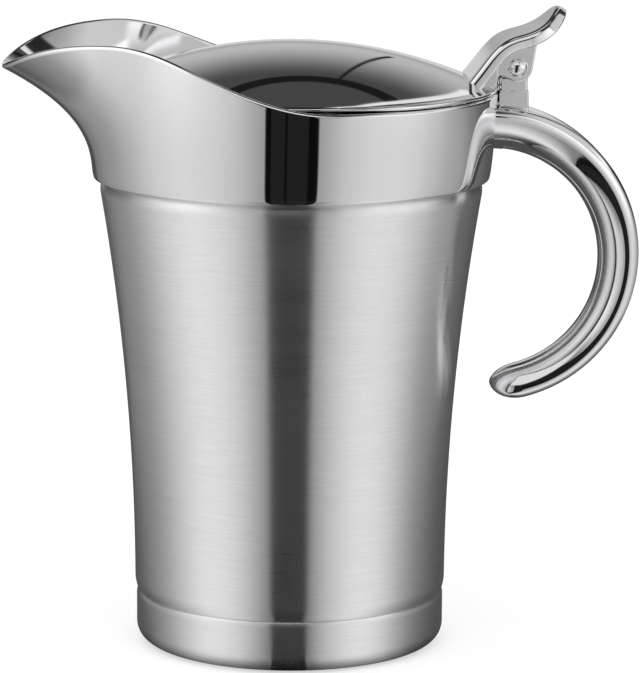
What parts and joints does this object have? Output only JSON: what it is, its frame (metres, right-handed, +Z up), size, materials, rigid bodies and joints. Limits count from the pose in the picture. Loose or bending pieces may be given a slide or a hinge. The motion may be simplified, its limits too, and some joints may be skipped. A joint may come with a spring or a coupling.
{
  "type": "insulated gravy boat",
  "caption": "Double-walled steel gravy boat with a flared body, a wide pouring spout, a domed lid hinged at the back with a thumb lever, and a hollow C-shaped handle.",
  "frame": {"origin": "on the body's axis, in the plane that the foot stands on", "axes": "+Z up, the spout points along -X and the handle along +X, the hinge pin lies along Y"},
  "size_m": [0.1641, 0.106, 0.1668],
  "materials": {
    "brushed": "stainless steel brushed round the body",
    "polished": "mirror-polished stainless steel",
    "inside": "stainless steel with a satin polish"
  },
  "bodies": {
    "vessel": {"base_cap": "brushed", "shell_bottom": "inside", "outer_shell": "brushed", "liner_cup": "inside", "spout_collar": "polished", "spout_lining": "inside", "rim_bead": "polished", "hinge_post": "polished", "handle_pad": "polished", "handle_shell": "polished", "handle_strip": "polished"},
    "lid": {"lid_dome": "polished", "lid_liner": "inside", "lid_bracket": "polished", "thumb_lever": "polished", "lever_ears": "polished", "hinge_pin": "polished", "pin_cap": "polished"}
  },
  "joints": [
    {"name": "lid_hinge", "type": "hinge", "parent": "vessel", "child": "lid", "pos_m": [0.0576, 0, 0.151], "axis": [0, 1, 0], "range_deg": [0, 90]}
  ]
}
